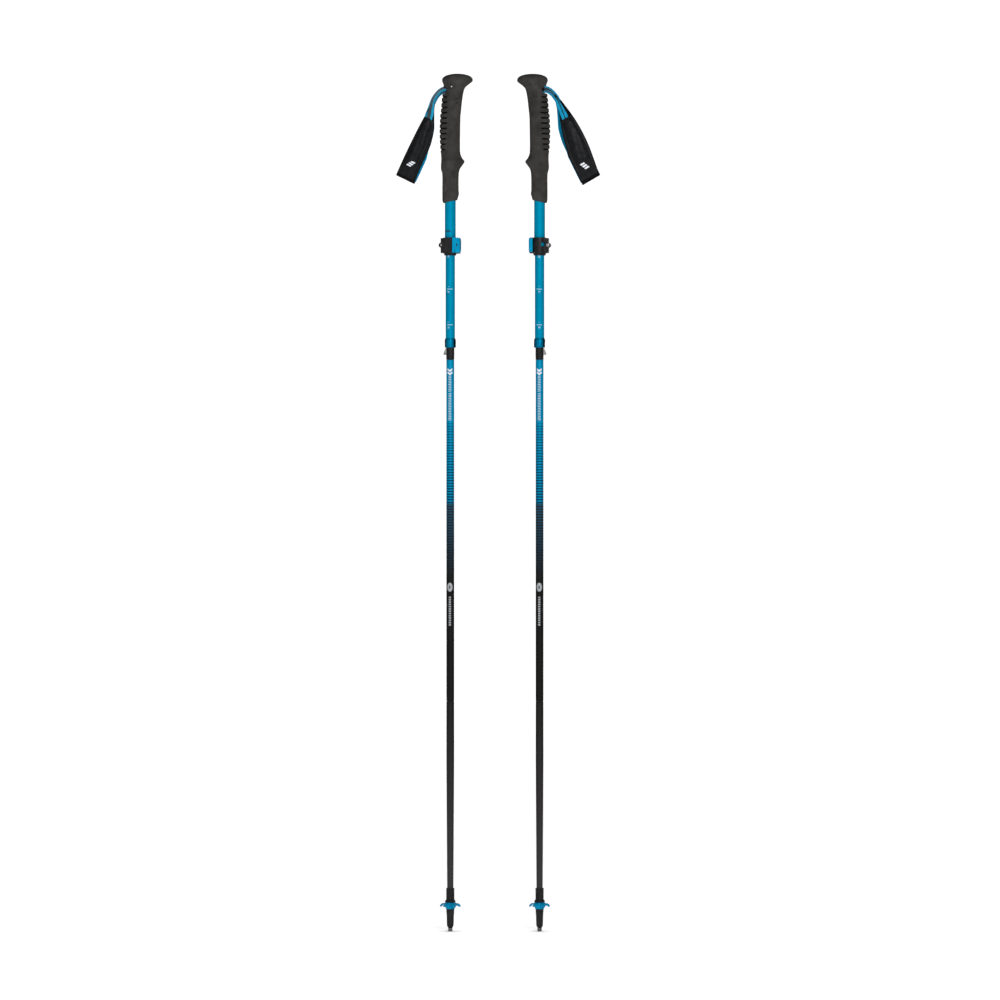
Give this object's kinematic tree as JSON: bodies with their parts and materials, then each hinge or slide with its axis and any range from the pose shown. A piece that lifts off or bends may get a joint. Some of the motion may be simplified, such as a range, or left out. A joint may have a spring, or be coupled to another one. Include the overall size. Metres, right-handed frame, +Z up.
{
  "type": "trekking poles",
  "caption": "Pair of folding trekking poles with foam grips, padded wrist straps, a lever lock on a scaled telescoping shaft, push-button release, small baskets and hard tips.",
  "frame": {"origin": "on the ground midway between the two tips", "axes": "+Z up along the shafts, +X from the left pole to the right one, +Y away from the viewer"},
  "size_m": [0.2861, 0.0336, 1.2005],
  "materials": {
    "grip_foam": "fine closed-cell foam, matt",
    "black_plastic": "moulded, fine grain",
    "blue_plastic": "moulded, satin",
    "blue_anodised": "blue anodised, satin",
    "printed_shaft": "blue fading into black with fine rings, clear lacquer",
    "carbon": "carbon fibre composite, satin lacquer",
    "steel": "bright",
    "carbide": "ground carbide",
    "webbing": "woven webbing with blue edges",
    "strap_fabric": "knitted black face with a blue lining",
    "cord": "coated braided cord"
  },
  "bodies": {
    "left_handle": {"left_grip_foam": "grip_foam", "left_grip_head": "black_plastic", "left_strap_pin": "steel", "left_strap_wedge": "black_plastic", "left_upper_shaft": "blue_anodised", "left_lock_clamp": "black_plastic", "left_lock_screw": "steel", "left_lock_nut": "steel", "left_lock_pin": "steel"},
    "left_lever": {"left_lock_lever": "blue_plastic"},
    "left_strap": {"left_strap_webbing": "webbing", "left_strap_band_near": "strap_fabric", "left_strap_band_far": "strap_fabric"},
    "left_adjuster": {"left_adjusting_shaft": "blue_anodised", "left_shaft_bush": "black_plastic", "left_end_collar": "blue_anodised", "left_cord_anchor": "black_plastic"},
    "left_sleeve": {"left_release_sleeve": "black_plastic", "left_button_spring": "steel", "left_cord_upper": "cord"},
    "left_button": {"left_release_button": "steel"},
    "left_middle": {"left_middle_shaft": "printed_shaft", "left_middle_cone": "black_plastic", "left_cord_middle": "cord"},
    "left_lower": {"left_lower_shaft": "carbon", "left_lower_cone": "black_plastic", "left_cord_lower": "cord", "left_tip_holder": "black_plastic", "left_carbide_tip": "carbide"},
    "left_basket": {"left_basket": "blue_plastic"},
    "right_handle": {"right_grip_foam": "grip_foam", "right_grip_head": "black_plastic", "right_strap_pin": "steel", "right_strap_wedge": "black_plastic", "right_upper_shaft": "blue_anodised", "right_lock_clamp": "black_plastic", "right_lock_screw": "steel", "right_lock_nut": "steel", "right_lock_pin": "steel"},
    "right_lever": {"right_lock_lever": "blue_plastic"},
    "right_strap": {"right_strap_webbing": "webbing", "right_strap_band_near": "strap_fabric", "right_strap_band_far": "strap_fabric"},
    "right_adjuster": {"right_adjusting_shaft": "blue_anodised", "right_shaft_bush": "black_plastic", "right_end_collar": "blue_anodised", "right_cord_anchor": "black_plastic"},
    "right_sleeve": {"right_release_sleeve": "black_plastic", "right_button_spring": "steel", "right_cord_upper": "cord"},
    "right_button": {"right_release_button": "steel"},
    "right_middle": {"right_middle_shaft": "printed_shaft", "right_middle_cone": "black_plastic", "right_cord_middle": "cord"},
    "right_lower": {"right_lower_shaft": "carbon", "right_lower_cone": "black_plastic", "right_cord_lower": "cord", "right_tip_holder": "black_plastic", "right_carbide_tip": "carbide"},
    "right_basket": {"right_basket": "blue_plastic"}
  },
  "joints": [
    {"name": "left_lock_lever_hinge", "type": "hinge", "parent": "left_handle", "child": "left_lever", "pos_m": [-0.05011, 0.00503, 0.9603], "axis": [0, 0, 1], "range_deg": [0, 110]},
    {"name": "left_strap_swing", "type": "hinge", "parent": "left_handle", "child": "left_strap", "pos_m": [-0.07185, 0.00098, 1.178], "axis": [0.1045, 0.9945, 0], "range_deg": [0, 65]},
    {"name": "left_length_slide", "type": "slide", "parent": "left_handle", "child": "left_adjuster", "axis": [0, 0, -1], "range_m": [-0.1, 0.05]},
    {"name": "left_sleeve_slide", "type": "slide", "parent": "left_adjuster", "child": "left_sleeve", "axis": [0, 0, 1], "range_m": [0, 0.0165]},
    {"name": "left_button_press", "type": "slide", "parent": "left_sleeve", "child": "left_button", "axis": [0.9945, -0.1045, 0], "range_m": [0, 0.0036], "stiffness_N_per_m": 150, "deforming": ["left_button_spring"]},
    {"name": "left_upper_fold", "type": "hinge", "parent": "left_sleeve", "child": "left_middle", "pos_m": [-0.06125, 0.01193, 0.8], "axis": [0.9945, -0.1045, 0], "range_deg": [0, 180]},
    {"name": "left_lower_fold", "type": "hinge", "parent": "left_middle", "child": "left_lower", "pos_m": [-0.06375, -0.01193, 0.322], "axis": [-0.9945, 0.1045, 0], "range_deg": [0, 180]},
    {"name": "left_basket_twist", "type": "hinge", "parent": "left_lower", "child": "left_basket", "pos_m": [-0.0625, 0, 0.036], "axis": [0, 0, 1], "range_deg": [0, 90]},
    {"name": "right_lock_lever_hinge", "type": "hinge", "parent": "right_handle", "child": "right_lever", "pos_m": [0.05011, -0.00503, 0.9603], "axis": [0, 0, 1], "range_deg": [0, 110]},
    {"name": "right_strap_swing", "type": "hinge", "parent": "right_handle", "child": "right_strap", "pos_m": [0.07185, -0.00098, 1.178], "axis": [-0.1045, -0.9945, 0], "range_deg": [0, 61]},
    {"name": "right_length_slide", "type": "slide", "parent": "right_handle", "child": "right_adjuster", "axis": [0, 0, -1], "range_m": [-0.1, 0.05]},
    {"name": "right_sleeve_slide", "type": "slide", "parent": "right_adjuster", "child": "right_sleeve", "axis": [0, 0, 1], "range_m": [0, 0.0165]},
    {"name": "right_button_press", "type": "slide", "parent": "right_sleeve", "child": "right_button", "axis": [-0.9945, 0.1045, 0], "range_m": [0, 0.0036], "stiffness_N_per_m": 150, "deforming": ["right_button_spring"]},
    {"name": "right_upper_fold", "type": "hinge", "parent": "right_sleeve", "child": "right_middle", "pos_m": [0.06125, -0.01193, 0.8], "axis": [-0.9945, 0.1045, 0], "range_deg": [0, 180]},
    {"name": "right_lower_fold", "type": "hinge", "parent": "right_middle", "child": "right_lower", "pos_m": [0.06375, 0.01193, 0.322], "axis": [0.9945, -0.1045, 0], "range_deg": [0, 180]},
    {"name": "right_basket_twist", "type": "hinge", "parent": "right_lower", "child": "right_basket", "pos_m": [0.0625, 0, 0.036], "axis": [0, 0, 1], "range_deg": [0, 90]},
    {"name": "pair_spread", "type": "slide", "parent": "left_handle", "child": "right_handle", "axis": [1, 0, 0], "range_m": [-0.04, 0.5]}
  ],
  "couplings": [
    {"joint": "left_button_press", "follows": "left_sleeve_slide", "ratio": 0.218},
    {"joint": "right_button_press", "follows": "right_sleeve_slide", "ratio": 0.218}
  ]
}
